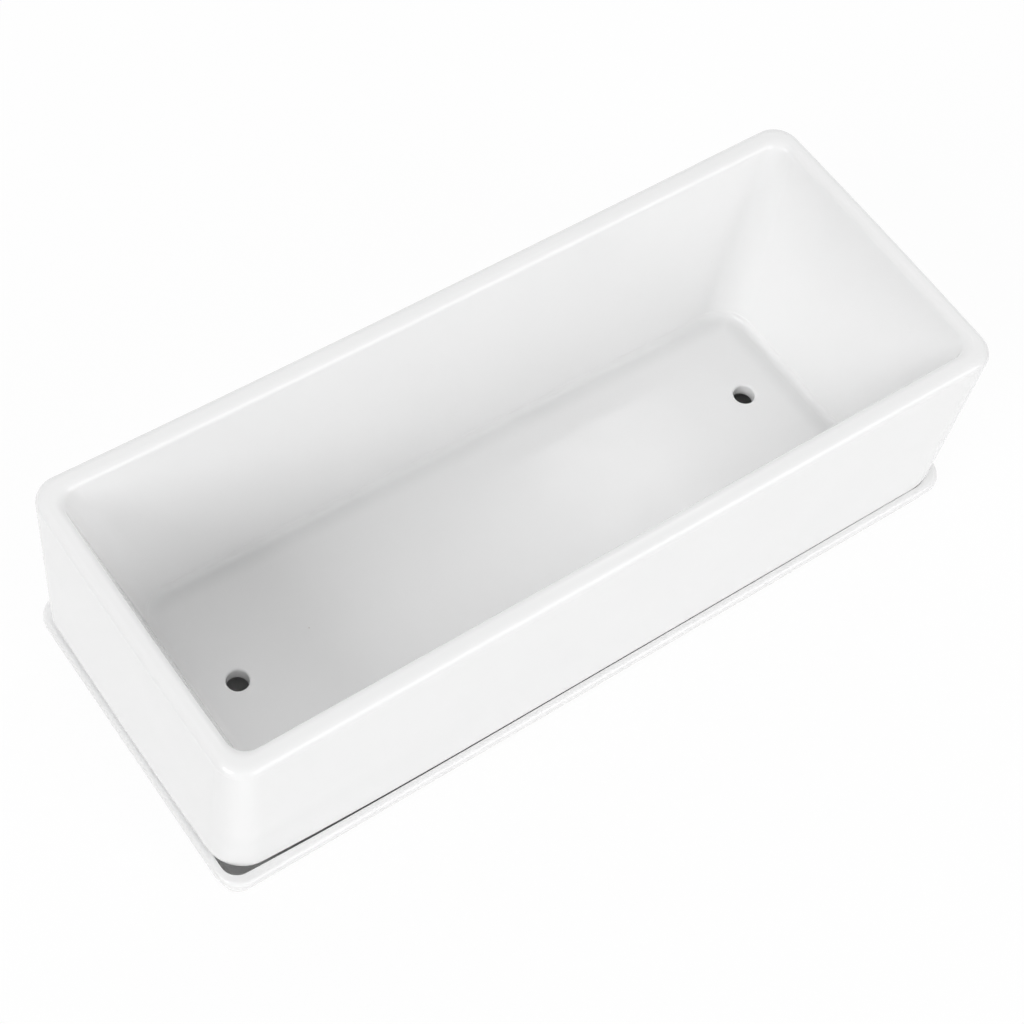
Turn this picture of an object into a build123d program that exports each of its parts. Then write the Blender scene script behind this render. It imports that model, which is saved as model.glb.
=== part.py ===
"""Indoor herb planter: a glazed ceramic trough with two drain holes, standing in a shallow saucer.

Millimetres. X runs along the trough, Y across it and Z up. The origin is under the middle of the saucer.
"""
import os
from math import atan2, degrees, sqrt

from build123d import *

# Pot, outside: drafts are how far a wall leans in from the rim to the foot
rim_length = 300.0
rim_width = 119.0
pot_height = 76.0
end_draft = 1.2
side_draft = 0.8
corner_radius = 10.0
base_edge_radius = 8.0

# Pot, rim: thinner at the ends than along the sides, both edges rounded with a flat crown between them
rim_end_thickness = 6.3
rim_side_thickness = 7.4
rim_outer_edge_radius = 3.0
rim_inner_edge_radius = 2.8

# Pot, inside: leans are how far a wall comes in from the mouth to the floor
end_wall_lean = 20.1
side_wall_lean = 13.7
inner_corner_radius = 8.5
floor_edge_radius = 3.0
floor_thickness = 5.6

# Pot, underside: a foot ring lifts the base off the saucer, and arches in its ends let the water out
underside_recess = 3.9
foot_ring_inset = 4.0
foot_ring_width = 7.0
foot_ring_height = 4.2
foot_ring_corner_radius = 10.0
foot_ring_chamfer = 0.6
arch_width = 16.0
arch_height = 2.4

# Pot, drain holes: punched a little off the middle line, one each side of it
drain_diameter = 7.6
drain_end_distance = 15.9
drain_offset = -2.4
drain_skew = 3.5
drain_chamfer = 0.5

# Saucer: gaps are between the lip and the pot's rounded base
saucer_end_gap = 0.7
saucer_side_gap = 0.9
saucer_corner_radius = 8.9
saucer_floor_thickness = 4.0
saucer_floor_edge_radius = 1.5
hollow_corner_radius = 9.0
lip_height = 7.0
lip_flare = 2.0
lip_end_thickness = 3.2
lip_side_thickness = 4.2
lip_outer_edge_radius = 1.3
lip_inner_edge_radius = 0.5
lip_band_height = 2.8
skirt_flare = 3.0
saucer_foot_width = 6.0
saucer_foot_height = 1.2
saucer_foot_chamfer = 0.4

# Levels, up from the table
saucer_floor_level = saucer_foot_height + saucer_floor_thickness
lip_level = saucer_floor_level + lip_height
base_level = saucer_floor_level + foot_ring_height
underside_level = base_level + underside_recess
pot_floor_level = underside_level + floor_thickness
rim_level = base_level + pot_height

# Pot outlines
base_length = rim_length - 2 * end_draft
base_width = rim_width - 2 * side_draft
mouth_length = rim_length - 2 * rim_end_thickness
mouth_width = rim_width - 2 * rim_side_thickness
inner_depth = rim_level - pot_floor_level
floor_length = mouth_length - 2 * end_wall_lean
foot_ring_length = base_length - 2 * (base_edge_radius + foot_ring_inset)
foot_ring_span = base_width - 2 * (base_edge_radius + foot_ring_inset)
arch_radius = (arch_width**2 / 4 + arch_height**2) / (2 * arch_height)
arch_axis_level = saucer_floor_level + arch_height - arch_radius

# Saucer outlines: at the lip's height the pot's rounded base is still drawn in a little
round_left = max(base_edge_radius - (lip_level - base_level), 0)
base_tuck = base_edge_radius - sqrt(base_edge_radius**2 - round_left**2)
lip_inner_length = base_length + 2 * (saucer_end_gap - base_tuck)
lip_inner_width = base_width + 2 * (saucer_side_gap - base_tuck)
saucer_length = lip_inner_length + 2 * lip_end_thickness
saucer_width = lip_inner_width + 2 * lip_side_thickness
skirt_height = lip_level - lip_band_height

# Walls lean from the rim down, each by its own angle
down_from_rim = Plane(origin=(0, 0, rim_level), z_dir=(0, 0, -1))

# Inside of the pot: a block with leaning walls, rounded where the walls and the floor meet
with BuildPart() as inside:
    with BuildSketch(Plane.XY.offset(pot_floor_level)):
        Rectangle(mouth_length, mouth_width)
    extrude(amount=inner_depth)
    end_walls = inside.faces().filter_by(Axis.X)
    draft(end_walls, down_from_rim, degrees(atan2(end_wall_lean, inner_depth)))
    side_walls = inside.faces().filter_by(Axis.Y)
    draft(side_walls, down_from_rim, degrees(atan2(side_wall_lean, inner_depth)))
    fillet(inside.edges().group_by(Axis.Z)[1], radius=inner_corner_radius)
    fillet(inside.faces().sort_by(Axis.Z)[0].edges(), radius=floor_edge_radius)

# Pot: drafted walls with a rounded base, hollowed, then rounded over at the rim
with BuildPart() as pot:
    with BuildSketch(Plane.XY.offset(base_level)):
        Rectangle(rim_length, rim_width)
    extrude(amount=pot_height)
    draft(pot.faces().filter_by(Axis.X), down_from_rim, degrees(atan2(end_draft, pot_height)))
    draft(pot.faces().filter_by(Axis.Y), down_from_rim, degrees(atan2(side_draft, pot_height)))
    fillet(pot.edges().group_by(Axis.Z)[1], radius=corner_radius)
    fillet(pot.faces().sort_by(Axis.Z)[0].edges(), radius=base_edge_radius)

    add(inside.part, mode=Mode.SUBTRACT)
    rim_top = pot.faces().sort_by(Axis.Z)[-1]
    fillet(rim_top.inner_wires().edges(), radius=rim_inner_edge_radius)
    rim_top = pot.faces().sort_by(Axis.Z)[-1]
    fillet(rim_top.outer_wire().edges(), radius=rim_outer_edge_radius)

    with BuildSketch(Plane.XY.offset(saucer_floor_level)):
        RectangleRounded(foot_ring_length, foot_ring_span, foot_ring_corner_radius)
    extrude(amount=foot_ring_height)
    with BuildSketch(Plane.XY.offset(saucer_floor_level)):
        RectangleRounded(foot_ring_length, foot_ring_span, foot_ring_corner_radius)
        offset(amount=-foot_ring_width, mode=Mode.REPLACE)
    extrude(amount=foot_ring_height + underside_recess, mode=Mode.SUBTRACT)
    chamfer(pot.faces().sort_by(Axis.Z)[0].edges(), length=foot_ring_chamfer)
    with BuildSketch(Plane.YZ):
        with Locations((0, arch_axis_level)):
            Circle(arch_radius)
    extrude(amount=foot_ring_length / 2, both=True, mode=Mode.SUBTRACT)

    drain_reach = floor_length / 2 - drain_end_distance
    with Locations(
        (drain_offset - drain_reach, -drain_skew / 2, pot_floor_level),
        (drain_offset + drain_reach, drain_skew / 2, pot_floor_level),
    ):
        Hole(radius=drain_diameter / 2, depth=floor_thickness)
    drain_rims = pot.edges().filter_by(lambda edge: edge.geom_type == GeomType.CIRCLE and edge.is_closed)
    chamfer(drain_rims, length=drain_chamfer)
pot.part.label = "pot"

# Saucer: a shallow tray whose round lip stands out over a smaller foot
with BuildPart() as saucer:
    with BuildSketch(Plane.XY.offset(skirt_height)):
        RectangleRounded(saucer_length, saucer_width, saucer_corner_radius)
    extrude(amount=lip_band_height)
    skirt_top = saucer.faces().sort_by(Axis.Z)[0]
    extrude(skirt_top, amount=skirt_height, taper=degrees(atan2(skirt_flare, skirt_height)))
    lip_underside = saucer.edges().group_by(Axis.Z)[-3]
    fillet(lip_underside, radius=lip_outer_edge_radius)

    with BuildSketch(Plane.XY.offset(lip_level)):
        RectangleRounded(lip_inner_length, lip_inner_width, hollow_corner_radius)
    extrude(amount=-lip_height, taper=degrees(atan2(lip_flare, lip_height)), mode=Mode.SUBTRACT)
    tray_floor = saucer.faces().filter_by(Axis.Z).sort_by(Axis.Z)[1]
    fillet(tray_floor.edges(), radius=saucer_floor_edge_radius)
    lip_top = saucer.faces().sort_by(Axis.Z)[-1]
    fillet(lip_top.outer_wire().edges(), radius=lip_outer_edge_radius)
    lip_top = saucer.faces().sort_by(Axis.Z)[-1]
    fillet(lip_top.inner_wires().edges(), radius=lip_inner_edge_radius)

    foot = saucer.faces().sort_by(Axis.Z)[0]
    with BuildSketch(Plane.XY):
        add(foot)
        offset(amount=-saucer_foot_width, mode=Mode.REPLACE)
    extrude(amount=saucer_foot_height, mode=Mode.SUBTRACT)
    chamfer(saucer.faces().sort_by(Axis.Z)[0].outer_wire().edges(), length=saucer_foot_chamfer)
saucer.part.label = "saucer"

os.makedirs("parts", exist_ok=True)
export_step(pot.part, "parts/pot.step")
export_step(saucer.part, "parts/saucer.step")
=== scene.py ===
"""Looks of an indoor herb planter: a white glazed ceramic trough that stands in a matching saucer.

Metres. X runs along the trough, Y across it and Z up. The origin is under the middle of the saucer.
"""

import logging
import math
from dataclasses import dataclass, replace
from enum import Enum
from typing import Iterable, Sequence, Union

import bmesh
import bpy
from mathutils import Matrix, Vector


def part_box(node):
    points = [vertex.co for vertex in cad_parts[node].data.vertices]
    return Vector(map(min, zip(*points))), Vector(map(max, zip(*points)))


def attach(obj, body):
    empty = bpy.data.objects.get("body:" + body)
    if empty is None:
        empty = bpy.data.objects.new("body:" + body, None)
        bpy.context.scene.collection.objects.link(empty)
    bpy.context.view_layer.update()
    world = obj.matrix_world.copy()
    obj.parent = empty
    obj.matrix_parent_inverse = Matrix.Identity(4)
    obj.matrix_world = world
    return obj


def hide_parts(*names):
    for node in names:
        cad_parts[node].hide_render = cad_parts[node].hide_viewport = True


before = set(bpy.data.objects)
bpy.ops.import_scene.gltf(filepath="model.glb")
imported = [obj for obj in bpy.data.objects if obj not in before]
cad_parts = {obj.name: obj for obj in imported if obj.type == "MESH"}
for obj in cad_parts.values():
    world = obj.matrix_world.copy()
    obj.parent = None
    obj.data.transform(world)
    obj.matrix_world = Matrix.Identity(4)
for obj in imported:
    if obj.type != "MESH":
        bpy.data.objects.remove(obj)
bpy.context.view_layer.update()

MM = 0.001
Colour = tuple[float, float, float]
Span = tuple[float, float]
Loop = list[bmesh.types.BMVert]
Value = Union["Field", float, tuple]

logging.basicConfig(level=logging.INFO, format="%(message)s")
log = logging.getLogger("planter")


class Surface(Enum):
    """What a face of the pottery shows; the value is its material's place on the piece."""

    GLAZE = 0
    CLAY = 1


@dataclass(frozen=True)
class Field:
    """An output socket of a shader graph. Arithmetic on it adds nodes to the graph."""

    graph: "Graph"
    socket: bpy.types.NodeSocket

    def _math(self, operation: str, *values: Value) -> "Field":
        """Adds a Math node that takes these values."""
        return self.graph.node("ShaderNodeMath", {"operation": operation}, dict(enumerate(values)))

    def __add__(self, other: Value) -> "Field":
        """This plus the other value."""
        return self._math("ADD", self, other)

    def __radd__(self, other: Value) -> "Field":
        """The other value plus this."""
        return self._math("ADD", other, self)

    def __sub__(self, other: Value) -> "Field":
        """This less the other value."""
        return self._math("SUBTRACT", self, other)

    def __rsub__(self, other: Value) -> "Field":
        """The other value less this."""
        return self._math("SUBTRACT", other, self)

    def __mul__(self, other: Value) -> "Field":
        """This times the other value."""
        return self._math("MULTIPLY", self, other)

    def __rmul__(self, other: Value) -> "Field":
        """The other value times this."""
        return self._math("MULTIPLY", other, self)

    def __truediv__(self, other: Value) -> "Field":
        """This divided by the other value."""
        return self._math("DIVIDE", self, other)

    def __rtruediv__(self, other: Value) -> "Field":
        """The other value divided by this."""
        return self._math("DIVIDE", other, self)

    def __abs__(self) -> "Field":
        """This without its sign."""
        return self._math("ABSOLUTE", self)

    def at_most(self, other: Value) -> "Field":
        """The smaller of this and the other value."""
        return self._math("MINIMUM", self, other)

    def at_least(self, other: Value) -> "Field":
        """The larger of this and the other value."""
        return self._math("MAXIMUM", self, other)

    def ramp(self, low: float, high: float) -> "Field":
        """Eases from 0 to 1 as this goes from low to high, which may be the smaller of the two.

        Args:
            low: The value at which the ramp is 0.
            high: The value at which the ramp is 1.

        Returns:
            The eased value.
        """
        settings = {"interpolation_type": "SMOOTHSTEP"}
        inputs = {"Value": self, "From Min": min(low, high), "From Max": max(low, high)}
        eased = self.graph.node("ShaderNodeMapRange", settings, inputs)
        return eased if low < high else 1 - eased


@dataclass(frozen=True)
class Dots:
    """Small round dots at random places.

    The spacing is the usual distance between places that may hold a dot, the radius that of the largest
    dots, and the share that of the places that do hold one.
    """

    spacing: float
    radius: float
    share: float

    CORE = 0.4
    FULL_LUCK = 0.2

    def mask(self, graph: "Graph") -> Field:
        """1 on a dot and 0 beside it, with a soft edge."""
        inputs = {"Vector": graph.place(), "Scale": 1 / self.spacing}
        cells = graph.node("ShaderNodeTexVoronoi", inputs=inputs)
        luck = graph.node("ShaderNodeSeparateColor", inputs={0: graph.sibling(cells, "Color")})
        chosen = (luck / self.share).ramp(1.0, self.FULL_LUCK)
        size = self.radius / self.spacing
        return chosen * cells.ramp(size, self.CORE * size)


class Graph:
    """The shader graph of one material or of the world."""

    FIRST_COLOUR = 6
    SECOND_COLOUR = 7
    MIXED_COLOUR = 2

    def __init__(self, owner: Union[bpy.types.Material, bpy.types.World]) -> None:
        """Starts an empty graph.

        Args:
            owner: The material or world that the graph belongs to.
        """
        owner.use_nodes = True
        self.tree = owner.node_tree
        self.tree.nodes.clear()

    def node(self, kind: str, settings: dict | None = None, inputs: dict | None = None,
             output: Union[int, str] = 0) -> Field:
        """Adds a node to the graph.

        Args:
            kind: The node's type.
            settings: Properties of the node, set first because some of them change its sockets.
            inputs: A number, a colour or a Field for each input socket, by name or place.
            output: The name or place of the socket to hand back.

        Returns:
            The chosen output of the new node.
        """
        made = self.tree.nodes.new(kind)
        for name, value in (settings or {}).items():
            setattr(made, name, value)
        for name, value in (inputs or {}).items():
            if isinstance(value, Field):
                self.tree.links.new(value.socket, made.inputs[name])
            else:
                made.inputs[name].default_value = value
        return Field(self, made.outputs[output] if len(made.outputs) else None)

    def sibling(self, field: Field, output: str) -> Field:
        """Another output of the node that a Field comes from."""
        return Field(self, field.socket.node.outputs[output])

    def place(self) -> Field:
        """A point of the surface in metres, in the piece's own frame."""
        return self.node("ShaderNodeTexCoord", output="Object")

    def axes(self) -> tuple[Field, Field, Field]:
        """The three coordinates of a point of the surface, in metres."""
        x = self.node("ShaderNodeSeparateXYZ", inputs={0: self.place()})
        return x, self.sibling(x, "Y"), self.sibling(x, "Z")

    def noise(self, size: float, detail: float = 2.0, seed: float = 0.0) -> Field:
        """Smooth noise around 0.5 in lumps of that size.

        Args:
            size: How far apart the lumps are, in metres.
            detail: How many finer layers are added.
            seed: Picks another pattern.

        Returns:
            The noise.
        """
        inputs = {"Vector": self.place(), "W": seed, "Scale": 1 / size, "Detail": detail}
        return self.node("ShaderNodeTexNoise", {"noise_dimensions": "4D"}, inputs)

    def from_camera(self) -> Field:
        """1 for the rays that come straight from the camera, and 0 for the others."""
        return self.node("ShaderNodeLightPath", output="Is Camera Ray")

    def shown(self, camera: Field) -> Field:
        """1 for the rays from the camera, and also for those by way of a mirror or of glass."""
        mirrored = self.sibling(camera, "Is Glossy Ray")
        return camera.at_least(mirrored).at_least(self.sibling(camera, "Is Transmission Ray"))

    def mix(self, factor: Value, first: Value, second: Value) -> Field:
        """Goes from the first colour to the second as the factor goes from 0 to 1.

        Args:
            factor: The share of the second colour.
            first: A colour, plain or as a Field.
            second: Another one.

        Returns:
            The mixed colour.
        """
        colours = {self.FIRST_COLOUR: self.rgba(first), self.SECOND_COLOUR: self.rgba(second)}
        inputs = {"Factor": factor, **colours}
        return self.node("ShaderNodeMix", {"data_type": "RGBA"}, inputs, self.MIXED_COLOUR)

    @staticmethod
    def rgba(colour: Value) -> Value:
        """A plain colour with the opaque fourth number that sockets want; a Field as it is."""
        return colour if isinstance(colour, Field) else (*colour, 1.0)

    def bump(self, layers: Iterable[tuple[Field, float]]) -> Field:
        """Bumps laid over each other.

        Args:
            layers: The height of each layer from 0 to 1, and the depth in metres that 1 stands for.

        Returns:
            The normal of the bumped surface.
        """
        normal = None
        for height, depth in layers:
            inputs = {"Height": height, "Distance": depth}
            if normal:
                inputs["Normal"] = normal
            normal = self.node("ShaderNodeBump", inputs=inputs)
        return normal

    def surface(self, shader: Field, output: str = "ShaderNodeOutputMaterial") -> None:
        """Makes this shader the graph's result."""
        self.node(output, inputs={"Surface": shader})


@dataclass(frozen=True)
class CreaseShade:
    """Painted shade where the walls of a hollow meet its floor: the glaze is drawn darker there, but
    not at low X.

    It reaches in over the floor and climbs the walls. The spans beyond the floor's edge and beneath its
    level are those in which it fades out.
    """

    half_length: float
    half_width: float
    taper: float
    level: float
    reach: float = 6.5 * MM
    climb: float = 2.5 * MM
    beyond: Span = (-4 * MM, -2 * MM)
    beneath: Span = (-1 * MM, -0.3 * MM)

    def painted_shade(self, graph: Graph) -> Field:
        """How much painted shade the crease gets.

        Args:
            graph: The shader graph of the glaze.

        Returns:
            0 on the open floor and walls, and up to 1 in the crease.
        """
        x, y, z = graph.axes()
        ends = self.half_length - x
        sides = self.half_width * (1 - x * (self.taper / self.half_length)) - abs(y)
        inwards, upwards = ends.at_most(sides), z - self.level
        near = inwards.ramp(self.reach, 0.0) * inwards.ramp(*self.beyond)
        return near * upwards.ramp(self.climb, 0.0) * upwards.ramp(*self.beneath)


@dataclass(frozen=True)
class Glaze:
    """Glossy white glaze, a little uneven as it flowed in the kiln, with pinholes and iron specks, and
    painted shade in the crease where walls meet the floor.
    """

    colour: Colour = (0.895, 0.895, 0.895)
    thick_colour: Colour = (0.88, 0.882, 0.882)
    # Painted shade: the darker colour drawn into the crease where the walls meet the floor.
    crease_shade_colour: Colour = (0.79, 0.795, 0.795)
    speck_colour: Colour = (0.45, 0.40, 0.34)
    roughness: float = 0.09
    roughness_spread: float = 0.06
    refraction: float = 1.42
    cloud_size: float = 38 * MM
    cloud_span: Span = (0.35, 0.7)
    cloud_strength: float = 0.6
    # How patchy the painted crease shade is.
    crease_shade_patch_size: float = 25 * MM
    crease_shade_patch_seed: float = 3.0
    crease_shade_least: float = 0.3
    specks: Dots = Dots(spacing=16 * MM, radius=0.32 * MM, share=0.3)
    speck_strength: float = 0.55
    pinholes: Dots = Dots(spacing=11 * MM, radius=0.35 * MM, share=0.2)
    pinhole_depth: float = 0.05 * MM
    wave_size: float = 30 * MM
    wave_depth: float = 0.10 * MM
    peel_size: float = 2.6 * MM
    peel_depth: float = 0.006 * MM

    def material(self, name: str, crease: CreaseShade | None = None) -> bpy.types.Material:
        """Builds the glaze's material.

        Args:
            name: The material's name.
            crease: Where painted shade darkens the glaze on the piece.

        Returns:
            The material.
        """
        made = bpy.data.materials.new(name)
        graph = Graph(made)
        clouds = graph.noise(self.cloud_size, detail=3).ramp(*self.cloud_span)
        colour = graph.mix(clouds * self.cloud_strength, self.colour, self.thick_colour)
        # Painted shade: the glaze is drawn darker along the crease, in patches.
        if crease:
            patches = graph.noise(self.crease_shade_patch_size, seed=self.crease_shade_patch_seed)
            crease_shade_share = crease.painted_shade(graph) * (self.crease_shade_least + (1 - self.crease_shade_least) * patches)
            colour = graph.mix(crease_shade_share, colour, self.crease_shade_colour)
        specks = self.specks.mask(graph) * self.speck_strength
        shader = graph.node("ShaderNodeBsdfPrincipled", inputs={
            "Base Color": graph.mix(specks, colour, self.speck_colour),
            "Roughness": self.roughness + clouds * self.roughness_spread,
            "Normal": graph.bump((
                (graph.noise(self.wave_size, detail=1), self.wave_depth),
                (graph.noise(self.peel_size), self.peel_depth),
                (1 - self.pinholes.mask(graph), self.pinhole_depth),
            )),
            "IOR": self.refraction,
        })
        graph.surface(shader)
        return made


@dataclass(frozen=True)
class BareClay:
    """Fired clay where the glaze was wiped off the foot: matt, warm and finely gritty."""

    colour: Colour = (0.74, 0.70, 0.63)
    grit_colour: Colour = (0.55, 0.49, 0.41)
    roughness: float = 0.8
    roughness_spread: float = 0.15
    grain_size: float = 0.7 * MM
    grain_depth: float = 0.06 * MM
    stain_size: float = 14 * MM
    stain_span: Span = (0.4, 0.75)
    stain_strength: float = 0.35
    grit: Dots = Dots(spacing=2.4 * MM, radius=0.3 * MM, share=0.6)
    grit_strength: float = 0.5

    def material(self, name: str) -> bpy.types.Material:
        """Builds the clay's material.

        Args:
            name: The material's name.

        Returns:
            The material.
        """
        made = bpy.data.materials.new(name)
        graph = Graph(made)
        grain = graph.noise(self.grain_size, detail=4)
        stain = graph.noise(self.stain_size, detail=3).ramp(*self.stain_span)
        darker = stain * self.stain_strength + self.grit.mask(graph) * self.grit_strength
        shader = graph.node("ShaderNodeBsdfPrincipled", inputs={
            "Base Color": graph.mix(darker, self.colour, self.grit_colour),
            "Roughness": self.roughness + grain * self.roughness_spread,
            "Normal": graph.bump(((grain, self.grain_depth),)),
        })
        graph.surface(shader)
        return made


def eased(share: float) -> float:
    """A share of a length that starts and ends slowly, so that steps are closest at both ends."""
    return (1 - math.cos(math.pi * share)) / 2


def between(first: float, second: float, share: float) -> float:
    """The value that share of the way from the first to the second."""
    return first + (second - first) * share


def round_over(radius: float, steps: int) -> list[tuple[float, float]]:
    """Points of a quarter circle, from the wall that it leaves to the face that it meets.

    Args:
        radius: The radius of the rounding.
        steps: How many steps it has.

    Returns:
        For each point, how far it is in from the wall and how far it still is from the face.
    """
    turns = (math.pi / 2 * i / steps for i in range(steps + 1))
    return [(radius * (1 - math.cos(a)), radius * (1 - math.sin(a))) for a in turns]


def tucked(rise: float, radius: float) -> float:
    """How far a rounded edge is drawn in at a height above the face that it meets."""
    left = max(radius - rise, 0)
    return radius - math.sqrt(radius**2 - left**2)


def placed(name: str, data: bpy.types.ID) -> bpy.types.Object:
    """Adds an object to the scene.

    Args:
        name: The object's name.
        data: The mesh, lamp or camera that it shows.

    Returns:
        The new object.
    """
    made = bpy.data.objects.new(name, data)
    bpy.context.scene.collection.objects.link(made)
    return made


@dataclass(frozen=True)
class Outline:
    """A level rectangle with rounded corners round the Z axis.

    It can taper, turn and shift. Its corner low in X and Y can be pulled in, and can be tighter than
    the others.
    """

    half_length: float
    half_width: float
    radius: float
    level: float
    taper: float = 0.0
    turn: float = 0.0
    shift: float = 0.0
    pull: float = 0.0
    tight: float = 0.0

    CORNERS = ((1, 1), (-1, 1), (-1, -1), (1, -1))
    LOW_CORNER = 2
    PULL_FADE = 4
    CORNER_STEPS = 12
    LONG_STEPS = 72
    SHORT_STEPS = 48

    def inset(self, amount: float, drop: float = 0.0, round_by: float = 1.0) -> "Outline":
        """The same outline drawn in and lowered.

        Args:
            amount: How far the sides come in.
            drop: How far it goes down.
            round_by: How much the corners tighten, as a share of the inset.

        Returns:
            The new outline.
        """
        return replace(
            self,
            half_length=self.half_length - amount,
            half_width=self.half_width - amount,
            radius=self.radius - round_by * amount,
            level=self.level - drop,
        )

    def towards(self, other: "Outline", share: float) -> "Outline":
        """An outline between this one and another, at the level of this one.

        Args:
            other: The other outline.
            share: How far the way to it goes, from 0 to 1.

        Returns:
            The new outline.
        """
        return Outline(
            between(self.half_length, other.half_length, share),
            between(self.half_width, other.half_width, share),
            between(self.radius, other.radius, share),
            self.level,
            turn=between(self.turn, other.turn, share),
            shift=between(self.shift, other.shift, share),
            pull=between(self.pull, other.pull, share),
            tight=between(self.tight, other.tight, share),
        )

    def arc(self, quarter: int) -> list[Vector]:
        """Points round one corner of the plain rectangle.

        Args:
            quarter: The corner's place in CORNERS.

        Returns:
            The points, seen from above against the clock.
        """
        radius = self.radius - (self.tight if quarter == self.LOW_CORNER else 0)
        along, across = self.CORNERS[quarter]
        reach = (along * (self.half_length - radius), across * (self.half_width - radius))
        centre = Vector((*reach, self.level))
        steps = self.CORNER_STEPS
        turns = (math.pi / 2 * (quarter + i / steps) for i in range(steps + 1))
        return [centre + radius * Vector((math.cos(a), math.sin(a), 0)) for a in turns]

    def bend(self, point: Vector) -> None:
        """Moves a point of the plain rectangle by the taper, the pull, the turn and the shift."""
        point.y *= 1 - self.taper * point.x / self.half_length
        low_x, low_y = max(-point.x / self.half_length, 0), max(-point.y / self.half_width, 0)
        point.y += self.turn * point.x + self.pull * low_x**self.PULL_FADE * low_y
        point.x += self.shift

    def points(self) -> list[Vector]:
        """Points along the outline, seen from above against the clock, closest near the corners."""
        arcs = [self.arc(quarter) for quarter in range(len(self.CORNERS))]
        points = []
        for quarter, arc in enumerate(arcs):
            points += arc
            steps = self.SHORT_STEPS if quarter % 2 else self.LONG_STEPS
            start, end = arc[-1], arcs[(quarter + 1) % len(arcs)][0]
            points += [start.lerp(end, eased(i / steps)) for i in range(1, steps)]
        for point in points:
            self.bend(point)
        return points


@dataclass(frozen=True)
class Ring:
    """A level circle, as the edge of a drain hole has."""

    centre: tuple[float, float]
    radius: float
    level: float

    STEPS = 56

    def points(self) -> list[Vector]:
        """Points along the circle, seen from above against the clock."""
        turns = (math.tau * i / self.STEPS for i in range(self.STEPS))
        middle = Vector((*self.centre, self.level))
        return [middle + self.radius * Vector((math.cos(a), math.sin(a), 0)) for a in turns]


class Shell:
    """A closed mesh made up of bands between loops and flat sheets."""

    def __init__(self) -> None:
        """Starts an empty mesh."""
        self.mesh = bmesh.new()

    def loop(self, outline: Union[Outline, Ring]) -> Loop:
        """Adds the points of an outline as vertices."""
        return [self.mesh.verts.new(point) for point in outline.points()]

    def bands(
        self, outlines: Sequence[Union[Outline, Ring]], bare_below: float = -math.inf
    ) -> tuple[Loop, Loop]:
        """Adds a band of faces between each outline and the next one.

        Args:
            outlines: Outlines of one kind, in order.
            bare_below: The level up to which the faces are bare clay.

        Returns:
            The vertices of the first and of the last outline.
        """
        loops = [self.loop(outline) for outline in outlines]
        for lower, upper, first, second in zip(outlines, outlines[1:], loops, loops[1:]):
            bare = max(lower.level, upper.level) <= bare_below
            kind = Surface.CLAY if bare else Surface.GLAZE
            for i in range(len(first)):
                face = self.mesh.faces.new((first[i - 1], first[i], second[i], second[i - 1]))
                face.material_index = kind.value
        return loops[0], loops[-1]

    def sheet(self, outer: Loop, holes: Sequence[Loop] = ()) -> None:
        """Fills the flat stretch inside a loop, apart from its holes.

        Args:
            outer: The loop round the stretch.
            holes: Loops inside it that stay open.
        """
        edges = []
        for loop in (outer, *holes):
            edges += [self.mesh.edges.get((loop[i - 1], loop[i])) for i in range(len(loop))]
        bmesh.ops.triangle_fill(self.mesh, use_beauty=True, edges=edges, normal=(0, 0, 1))

    def piece(self, name: str, finishes: Sequence[bpy.types.Material]) -> bpy.types.Object:
        """Ends the mesh and makes it a piece of the scene.

        Args:
            name: The piece's name.
            finishes: Its materials, in the order of Surface.

        Returns:
            The new object.
        """
        bmesh.ops.recalc_face_normals(self.mesh, faces=self.mesh.faces)
        for face in self.mesh.faces:
            face.smooth = True
        data = bpy.data.meshes.new(name)
        self.mesh.to_mesh(data)
        self.mesh.free()
        for finish in finishes:
            data.materials.append(finish)
        return placed(name, data)


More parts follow.
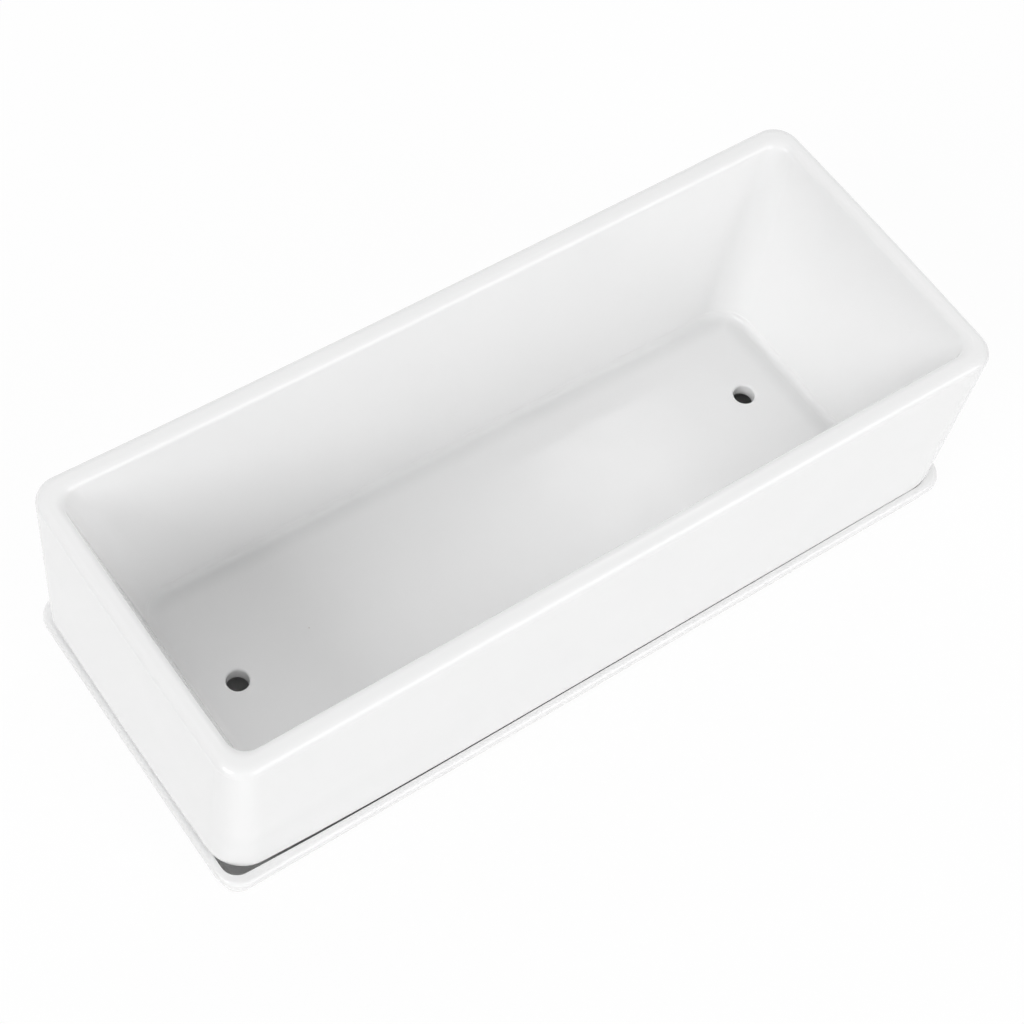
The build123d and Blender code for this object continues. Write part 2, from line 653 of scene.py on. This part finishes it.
@dataclass
class Pot:
    """The trough: drafted walls with a rounded rim and base, two drain holes and a foot ring."""

    glaze: Glaze
    clay: BareClay
    node: str = "pot"
    end_draft: float = 1.2 * MM
    side_draft: float = 0.8 * MM
    rim_corner: float = 9.0 * MM
    base_corner: float = 12.0 * MM
    base_pull: float = 2.6 * MM
    pull_height: float = 30.0 * MM
    base_end_round: float = 10.0 * MM
    base_side_round: float = 5.0 * MM
    rim_end_thickness: float = 6.3 * MM
    rim_side_thickness: float = 7.4 * MM
    rim_outer_round: float = 3.0 * MM
    rim_inner_round: float = 2.8 * MM
    mouth_corner: float = 6.5 * MM
    floor_corner: float = 12.5 * MM
    floor_taper: float = 0.052
    end_lean: float = 20.1 * MM
    side_lean: float = 13.7 * MM
    inner_depth: float = 66.5 * MM
    floor_round: float = 3.0 * MM
    floor_thickness: float = 5.6 * MM
    foot_height: float = 4.2 * MM
    foot_reach: float = 12.0 * MM
    foot_width: float = 7.0 * MM
    foot_corner: float = 10.0 * MM
    foot_round: float = 0.7 * MM
    arch_width: float = 16.0 * MM
    arch_height: float = 2.4 * MM
    drain_radius: float = 3.85 * MM
    drain_round: float = 0.7 * MM
    drain_end_distance: float = 16.5 * MM
    drain_offset: float = -2.5 * MM
    drain_skew: float = 3.8 * MM
    drain_shift: float = 0.8 * MM
    end_bow: float = 0.6 * MM
    back_bow: float = 0.9 * MM
    back_bow_slant: float = 0.5
    guard: float = 0.5 * MM

    BASE_STEPS = 20
    WALL_STEPS = 24
    RIM_OUTER_STEPS = 10
    RIM_INNER_STEPS = 14
    FLOOR_STEPS = 18
    FOOT_STEPS = 5
    RECESS_STEPS = 4
    FOOT_SIDE_STEPS = 3
    DRAIN_STEPS = 8
    DRAIN_SHARES = (0.3, 0.5, 0.7)

    def __post_init__(self) -> None:
        """Takes the levels from the plain solid, and the rim as it would be without its rounding."""
        low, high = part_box(self.node)
        height = high.z - low.z
        self.half_length = (high.x - low.x) / 2 + self.end_draft * self.rim_outer_round / height
        self.half_width = (high.y - low.y) / 2 + self.side_draft * self.rim_outer_round / height
        self.rim_level = high.z
        self.foot_level = low.z
        self.base_level = low.z + self.foot_height
        self.floor_level = self.rim_level - self.inner_depth
        self.underside_level = self.floor_level - self.floor_thickness

    def outside(self, level: float) -> Outline:
        """The outside of the wall at that level, its corners rounder towards the base.

        Args:
            level: The height above the table.

        Returns:
            The outline there.
        """
        share = (self.rim_level - level) / (self.rim_level - self.base_level)
        return Outline(
            self.half_length - self.end_draft * share,
            self.half_width - self.side_draft * share,
            between(self.rim_corner, self.base_corner, share),
            level,
            pull=self.base_pull * max(1 - max(level - self.base_level, 0) / self.pull_height, 0),
        )

    def base(self, level: float) -> Outline:
        """The outside at that level with its rounded base edge, which is fuller along the sides.

        Args:
            level: The height above the table.

        Returns:
            The outline there.
        """
        wall, rise = self.outside(level), level - self.base_level
        ends, sides = tucked(rise, self.base_end_round), tucked(rise, self.base_side_round)
        return replace(
            wall,
            half_length=wall.half_length - ends,
            half_width=wall.half_width - sides,
            radius=wall.radius - (ends + sides) / 2,
        )

    def inner_inset(self, level: float, thickness: float, lean: float) -> float:
        """How far the inside lies in from the sharp rim edge at a level, roundings included.

        Args:
            level: The height above the table.
            thickness: How thick the rim is on that side.
            lean: How far that wall comes in from the mouth to the floor.

        Returns:
            The distance in from the outer edge of the rim.
        """
        angle = math.atan2(lean, self.inner_depth)
        slope = math.tan(angle)
        rim_centre = self.rim_level - self.rim_inner_round
        if level > rim_centre + self.rim_inner_round * math.sin(angle):
            middle = thickness + slope * self.rim_inner_round - self.rim_inner_round / math.cos(angle)
            return middle + math.sqrt(max(self.rim_inner_round**2 - (level - rim_centre) ** 2, 0))
        floor_centre = self.floor_level + self.floor_round
        if level < floor_centre - self.floor_round * math.sin(angle):
            drop = self.rim_level - floor_centre
            middle = thickness + slope * drop + self.floor_round / math.cos(angle)
            return middle - math.sqrt(max(self.floor_round**2 - (level - floor_centre) ** 2, 0))
        return thickness + slope * (self.rim_level - level)

    def inside(self, level: float) -> Outline:
        """The inside of the wall at that level, its corners rounder towards the floor.

        Args:
            level: The height above the table.

        Returns:
            The outline there.
        """
        share = (self.rim_level - level) / self.inner_depth
        return Outline(
            self.half_length - self.inner_inset(level, self.rim_end_thickness, self.end_lean),
            self.half_width - self.inner_inset(level, self.rim_side_thickness, self.side_lean),
            between(self.mouth_corner, self.floor_corner, share),
            level,
            self.floor_taper * share,
        )

    def foot(self) -> list[Outline]:
        """The foot ring and the recess inside it, from the underside out to the base."""
        reach = self.outside(self.base_level).inset(self.foot_reach)
        outer = replace(reach, radius=self.foot_corner, level=self.foot_level)
        inner = outer.inset(self.foot_width)
        top, rise = self.underside_level, self.base_level - self.foot_level
        rounds = round_over(self.foot_round, self.FOOT_STEPS)
        outlines = [replace(inner.inset(self.foot_round + self.guard), level=top)]
        outlines += [replace(inner.inset(far), level=top - near) for far, near in reversed(rounds)]
        low, high = self.foot_level + self.foot_round, top - self.foot_round
        for i in reversed(range(1, self.RECESS_STEPS)):
            outlines.append(replace(inner, level=between(low, high, i / self.RECESS_STEPS)))
        outlines += [inner.inset(-far, -near) for far, near in rounds]
        outlines.append(inner.inset(-self.foot_round - self.guard))
        outlines.append(outer.inset(self.foot_round + self.guard))
        outlines += [outer.inset(far, -near) for far, near in reversed(rounds)]
        for i in range(1, self.FOOT_SIDE_STEPS):
            share = i / self.FOOT_SIDE_STEPS
            outlines.append(outer.inset(0, -between(self.foot_round, rise - self.foot_round, share)))
        outlines += [outer.inset(-far, near - rise) for far, near in rounds]
        outlines.append(outer.inset(-self.foot_round - self.guard, -rise))
        outlines.append(self.base(self.base_level).inset(self.guard))
        return outlines

    def walls(self) -> list[Outline]:
        """The outside from the base up, over the rim and down the inside to the floor."""
        rounds = reversed(round_over(self.base_end_round, self.BASE_STEPS))
        outlines = [self.base(self.base_level + near) for _, near in rounds]
        low, high = self.base_level + self.base_end_round, self.rim_level - self.rim_outer_round
        for i in range(1, self.WALL_STEPS):
            outlines.append(self.outside(between(low, high, eased(i / self.WALL_STEPS))))
        tighten = (self.rim_corner - self.mouth_corner) / self.rim_side_thickness
        for far, near in round_over(self.rim_outer_round, self.RIM_OUTER_STEPS):
            outlines.append(self.outside(self.rim_level - near).inset(far, 0, tighten))
        rounds = reversed(round_over(self.rim_inner_round, self.RIM_INNER_STEPS))
        levels = [self.rim_level - drop for _, drop in rounds]
        low, high = self.floor_level + self.floor_round, self.rim_level - self.rim_inner_round
        for i in range(1, self.WALL_STEPS + 1):
            levels.append(between(high, low, eased(i / self.WALL_STEPS)))
        rounds = round_over(self.floor_round, self.FLOOR_STEPS)
        levels += [self.floor_level + drop for _, drop in rounds]
        outlines += [self.inside(level) for level in levels]
        outlines.append(outlines[-1].inset(self.guard))
        return outlines

    def drain(self, side: int) -> list[Ring]:
        """The rounded wall of a drain hole, from the floor down to the underside.

        Args:
            side: -1 for the hole near the low end of X and 1 for the other one.

        Returns:
            The rings of its wall.
        """
        reach = self.half_length - self.rim_end_thickness - self.end_lean - self.drain_end_distance
        centre = (self.drain_offset + side * reach, self.drain_shift + side * self.drain_skew / 2)
        top, bottom = self.floor_level, self.underside_level
        rounds = round_over(self.drain_round, self.DRAIN_STEPS)
        widest = self.drain_radius + self.drain_round + self.guard
        rings = [Ring(centre, widest, top)]
        rings += [Ring(centre, self.drain_radius + far, top - near) for far, near in reversed(rounds)]
        for share in self.DRAIN_SHARES:
            rings.append(Ring(centre, self.drain_radius, between(top, bottom, share)))
        rings += [Ring(centre, self.drain_radius + far, bottom + near) for far, near in rounds]
        rings.append(Ring(centre, widest, bottom))
        return rings

    def shape(self, point: Vector) -> Vector:
        """Moves a point as the maker and the kiln did: arches cut in the foot, ends and back bowed.

        Args:
            point: A point of the plain form.

        Returns:
            The point on the real one.
        """
        along, across = point.x / self.half_length, point.y / self.half_width
        bow = self.end_bow * (1 - across**2) * along
        slant = 1 - self.back_bow_slant * along
        sag = self.back_bow * (1 - along**2) * max(across, 0) * slant
        radius = (self.arch_width**2 / 4 + self.arch_height**2) / (2 * self.arch_height)
        arch = math.sqrt(max(radius**2 - point.y**2, 0)) - (radius - self.arch_height)
        hang = max(self.base_level - point.z, 0) / self.foot_height
        at_end = abs(point.x) > self.half_length / 2
        rise = max(arch, 0) * hang if at_end else 0
        return point + Vector((bow, -sag, rise))

    def build(self) -> bpy.types.Object:
        """Builds the pot in place of its plain solid.

        Returns:
            The pot.
        """
        shell = Shell()
        underside, floor = shell.bands(self.foot() + self.walls(), self.foot_level + self.foot_round)
        drains = [shell.bands(self.drain(side)) for side in (-1, 1)]
        shell.sheet(floor, [top for top, _ in drains])
        shell.sheet(underside, [bottom for _, bottom in drains])
        for vertex in shell.mesh.verts:
            vertex.co = self.shape(vertex.co)
        # Painted shade along the edge of the floor, where the walls meet it.
        edge = self.inside(self.floor_level)
        crease = CreaseShade(edge.half_length, edge.half_width, edge.taper, self.floor_level)
        finishes = (self.glaze.material("pot_glaze", crease), self.clay.material("pot_clay"))
        made = shell.piece("pot_glazed", finishes)
        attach(made, self.node)
        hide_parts(self.node)
        return made


@dataclass
class Saucer:
    """The shallow tray under the pot: a round lip over a flared skirt and a foot ring."""

    glaze: Glaze
    clay: BareClay
    node: str = "saucer"
    outer_corner: float = 8.9 * MM
    inner_corner: float = 10.0 * MM
    inner_tight: float = 4.5 * MM
    inner_pull: float = 1.7 * MM
    end_trim: float = 0.45 * MM
    end_shift: float = 0.4 * MM
    side_trim: float = 0.85 * MM
    lip_end_thickness: float = 3.1 * MM
    lip_side_thickness: float = 2.62 * MM
    lip_outer_round: float = 1.3 * MM
    lip_inner_round: float = 0.3 * MM
    lip_band: float = 2.8 * MM
    lip_flare: float = 2.0 * MM
    hollow_depth: float = 7.0 * MM
    hollow_turn: float = 0.0010
    floor_round: float = 1.5 * MM
    skirt_flare: float = 3.0 * MM
    foot_width: float = 6.0 * MM
    foot_height: float = 1.2 * MM
    foot_round: float = 0.5 * MM
    guard: float = 0.4 * MM

    FOOT_STEPS = 4
    SKIRT_STEPS = 12
    LIP_STEPS = 8
    LIP_BAND_SHARES = (0.3, 0.7)
    CROWN_SHARES = (0.15, 0.5, 0.85)
    WALL_STEPS = 8
    FLOOR_STEPS = 9

    def __post_init__(self) -> None:
        """Takes the outline of the lip from the plain solid, and that of the hollow from the lip."""
        low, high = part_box(self.node)
        half_length = (high.x - low.x) / 2 - self.end_trim
        half_width = (high.y - low.y) / 2 - self.side_trim
        self.lip = Outline(half_length, half_width, self.outer_corner, high.z, shift=self.end_shift)
        self.hollow = Outline(
            self.lip.half_length - self.lip_end_thickness,
            self.lip.half_width - self.lip_side_thickness,
            self.inner_corner,
            high.z,
            turn=self.hollow_turn,
            pull=self.inner_pull,
            tight=self.inner_tight,
        )

    def underneath(self) -> list[Outline]:
        """The foot ring and its recess, from the middle out to the skirt."""
        outer = replace(self.lip.inset(self.skirt_flare), level=0.0)
        inner = outer.inset(self.foot_width)
        rounds = round_over(self.foot_round, self.FOOT_STEPS)
        outlines = [replace(inner.inset(self.foot_round + self.guard), level=self.foot_height)]
        outlines += [inner.inset(far, near - self.foot_height) for far, near in reversed(rounds)]
        outlines += [inner.inset(-far, -near) for far, near in rounds]
        outlines.append(inner.inset(-self.foot_round - self.guard))
        outlines.append(outer.inset(self.foot_round + self.guard))
        outlines += [outer.inset(far, -near) for far, near in reversed(rounds)]
        return outlines

    def edge(self) -> list[Outline]:
        """The skirt up to the lip and the lip itself, over to the hollow's rounded edge."""
        neck = self.lip.level - self.lip_band
        outlines = []
        for i in range(1, self.SKIRT_STEPS + 1):
            share = i / self.SKIRT_STEPS
            skirt = self.lip.inset(self.skirt_flare * (1 - share))
            outlines.append(replace(skirt, level=between(self.foot_round, neck, share)))
        for share in self.LIP_BAND_SHARES:
            outlines.append(self.lip.inset(0, between(self.lip_band, self.lip_outer_round, share)))
        for far, near in round_over(self.lip_outer_round, self.LIP_STEPS):
            outlines.append(self.lip.inset(far, near))
        crown, inner = outlines[-1], self.hollow.inset(-self.lip_inner_round)
        outlines += [crown.towards(inner, share) for share in self.CROWN_SHARES]
        for far, near in reversed(round_over(self.lip_inner_round, self.LIP_STEPS)):
            outlines.append(self.hollow.inset(-far, near))
        return outlines

    def well(self) -> list[Outline]:
        """The hollow, from under its rounded edge down to the floor."""
        slope = self.lip_flare / (self.hollow_depth - self.lip_inner_round)
        low = self.hollow_depth - self.floor_round
        outlines = []
        for i in range(1, self.WALL_STEPS + 1):
            drop = between(self.lip_inner_round, low, eased(i / self.WALL_STEPS))
            outlines.append(self.hollow.inset(slope * (drop - self.lip_inner_round), drop))
        for far, near in round_over(self.floor_round, self.FLOOR_STEPS)[1:]:
            drop = self.hollow_depth - near
            outlines.append(self.hollow.inset(slope * (drop - self.lip_inner_round) + far, drop))
        outlines.append(outlines[-1].inset(self.guard))
        return outlines

    def build(self) -> bpy.types.Object:
        """Builds the saucer in place of its plain solid.

        Returns:
            The saucer.
        """
        shell = Shell()
        underside, floor = shell.bands(self.underneath() + self.edge() + self.well(), self.foot_round)
        shell.sheet(floor)
        shell.sheet(underside)
        finishes = (self.glaze.material("saucer_glaze"), self.clay.material("saucer_clay"))
        made = shell.piece("saucer_glazed", finishes)
        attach(made, self.node)
        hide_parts(self.node)
        return made


def direction(azimuth: float, height: float) -> Vector:
    """The direction at an azimuth from +X against the clock and a height over the table, in degrees."""
    turn, tilt = math.radians(azimuth), math.radians(height)
    return Vector((math.cos(turn) * math.cos(tilt), math.sin(turn) * math.cos(tilt), math.sin(tilt)))


@dataclass(frozen=True)
class Softbox:
    """A square studio lamp with a soft front, aimed at the planter."""

    name: str
    azimuth: float
    height: float
    side: float
    brightness: float
    distance: float = 6.0

    def build(self) -> bpy.types.Object:
        """Adds the lamp to the scene.

        Returns:
            The lamp.
        """
        data = bpy.data.lights.new(self.name, "AREA")
        data.shape = "SQUARE"
        data.size = self.side
        data.energy = math.pi * self.side**2 * self.brightness
        lamp = placed(self.name, data)
        out = direction(self.azimuth, self.height)
        lamp.location = out * self.distance
        lamp.rotation_euler = (-out).to_track_quat("-Z", "Y").to_euler()
        return lamp


@dataclass(frozen=True)
class Panel:
    """A pale reflector in the room: a round bright patch with a soft edge. Angles are in degrees."""

    azimuth: float
    height: float
    spread: float
    edge: float
    brightness: float

    def light(self, graph: Graph, out: Field) -> Field:
        """The light of the panel in each direction of the room.

        Args:
            graph: The room's shader graph.
            out: The direction in which the room is seen.

        Returns:
            Its brightness there.
        """
        inputs = {0: out, 1: direction(self.azimuth, self.height)}
        along = graph.node("ShaderNodeVectorMath", {"operation": "DOT_PRODUCT"}, inputs, "Value")
        rim = (math.cos(math.radians(self.spread + side * self.edge)) for side in (1, -1))
        return self.brightness * along.ramp(*rim)


@dataclass
class Studio:
    """The white table, the softboxes, the pale room round them and the camera.

    The room goes from its low to its top brightness while the sine of the height goes from 0 to
    room_ease.
    """

    table_size: float = 6.0
    table_gap: float = 0.05 * MM
    table_colour: Colour = (0.85, 0.85, 0.85)
    table_seen_colour: Colour = (0.93, 0.93, 0.93)
    whiteness: float = 0.94
    room_low: float = 0.10
    room_top: float = 0.47
    room_ease: float = 0.94
    panel: Panel = Panel(azimuth=65.3, height=22.4, spread=44.6, edge=3.0, brightness=0.955)
    softboxes: tuple[Softbox, ...] = (
        Softbox("key_softbox", azimuth=194.3, height=30.8, side=2.86, brightness=6.33),
        Softbox("front_softbox", azimuth=287.5, height=23.4, side=4.31, brightness=2.90),
        Softbox("small_softbox", azimuth=40.0, height=55.5, side=0.50, brightness=2.75),
    )
    eye: tuple[float, float, float] = (-0.32085, -0.31001, 0.70828)
    ahead: tuple[float, float, float] = (0.39379, 0.38227, -0.83594)
    roll: float = 12.40
    lens: float = 84.64
    sensor: float = 36.0

    def table_finish(self) -> bpy.types.Material:
        """Builds the table's material: white where it is seen, with shadows, and clear from below.

        Returns:
            The material.
        """
        made = bpy.data.materials.new("white_table")
        graph = Graph(made)
        camera = graph.from_camera()
        colour = graph.mix(camera, self.table_colour, self.table_seen_colour)
        matt = graph.node("ShaderNodeBsdfDiffuse", inputs={"Color": colour})
        white = graph.node("ShaderNodeEmission", inputs={"Strength": 1.0})
        share = graph.shown(camera) * self.whiteness
        top_side = graph.node("ShaderNodeMixShader", inputs={0: share, 1: matt, 2: white})
        below = graph.node("ShaderNodeNewGeometry", output="Backfacing")
        clear = graph.node("ShaderNodeBsdfTransparent")
        graph.surface(graph.node("ShaderNodeMixShader", inputs={0: below, 1: top_side, 2: clear}))
        return made

    def table(self) -> bpy.types.Object:
        """Adds the table top, a hair below the saucer's foot.

        Returns:
            The table top.
        """
        half = self.table_size / 2
        around = ((-half, -half), (half, -half), (half, half), (-half, half))
        data = bpy.data.meshes.new("table_top")
        data.from_pydata([(x, y, -self.table_gap) for x, y in around], [], [(0, 1, 2, 3)])
        data.materials.append(self.table_finish())
        top = placed("table_top", data)
        return top

    def room(self) -> None:
        """A pale room with a reflector behind the planter; plain white where it is seen or mirrored."""
        world = bpy.data.worlds.new("pale_room")
        bpy.context.scene.world = world
        graph = Graph(world)
        out = graph.node("ShaderNodeTexCoord", output="Generated")
        height = graph.node("ShaderNodeSeparateXYZ", inputs={0: out}, output="Z")
        light = self.room_low + (self.room_top - self.room_low) * height.ramp(0.0, self.room_ease)
        light = light + self.panel.light(graph, out)
        shown = graph.shown(graph.from_camera())
        inputs = {"Color": (1, 1, 1, 1), "Strength": shown + (1 - shown) * light}
        graph.surface(graph.node("ShaderNodeBackground", inputs=inputs), "ShaderNodeOutputWorld")

    def camera(self) -> bpy.types.Object:
        """Adds the camera at the photograph's place.

        Returns:
            The camera.
        """
        data = bpy.data.cameras.new("camera")
        data.lens = self.lens
        data.sensor_width = self.sensor
        made = placed("camera", data)
        turn = Vector(self.ahead).to_track_quat("-Z", "Y").to_matrix().to_4x4()
        roll = Matrix.Rotation(math.radians(self.roll), 4, "Z")
        made.matrix_world = Matrix.Translation(self.eye) @ turn @ roll
        bpy.context.scene.camera = made
        return made

    def build(self) -> None:
        """Sets up the table, the light and the camera."""
        bpy.context.scene.view_settings.view_transform = "Standard"
        self.table()
        self.room()
        for softbox in self.softboxes:
            softbox.build()
        self.camera()


def main() -> None:
    """Builds the planter and its studio; the two plain solids stay in the scene, hidden."""
    glaze, clay = Glaze(), BareClay()
    for part in (Saucer(glaze, clay), Pot(glaze, clay)):
        piece = part.build()
        log.info("%s: %d faces", piece.name, len(piece.data.polygons))
    Studio().build()


if __name__ == "__main__":
    main()
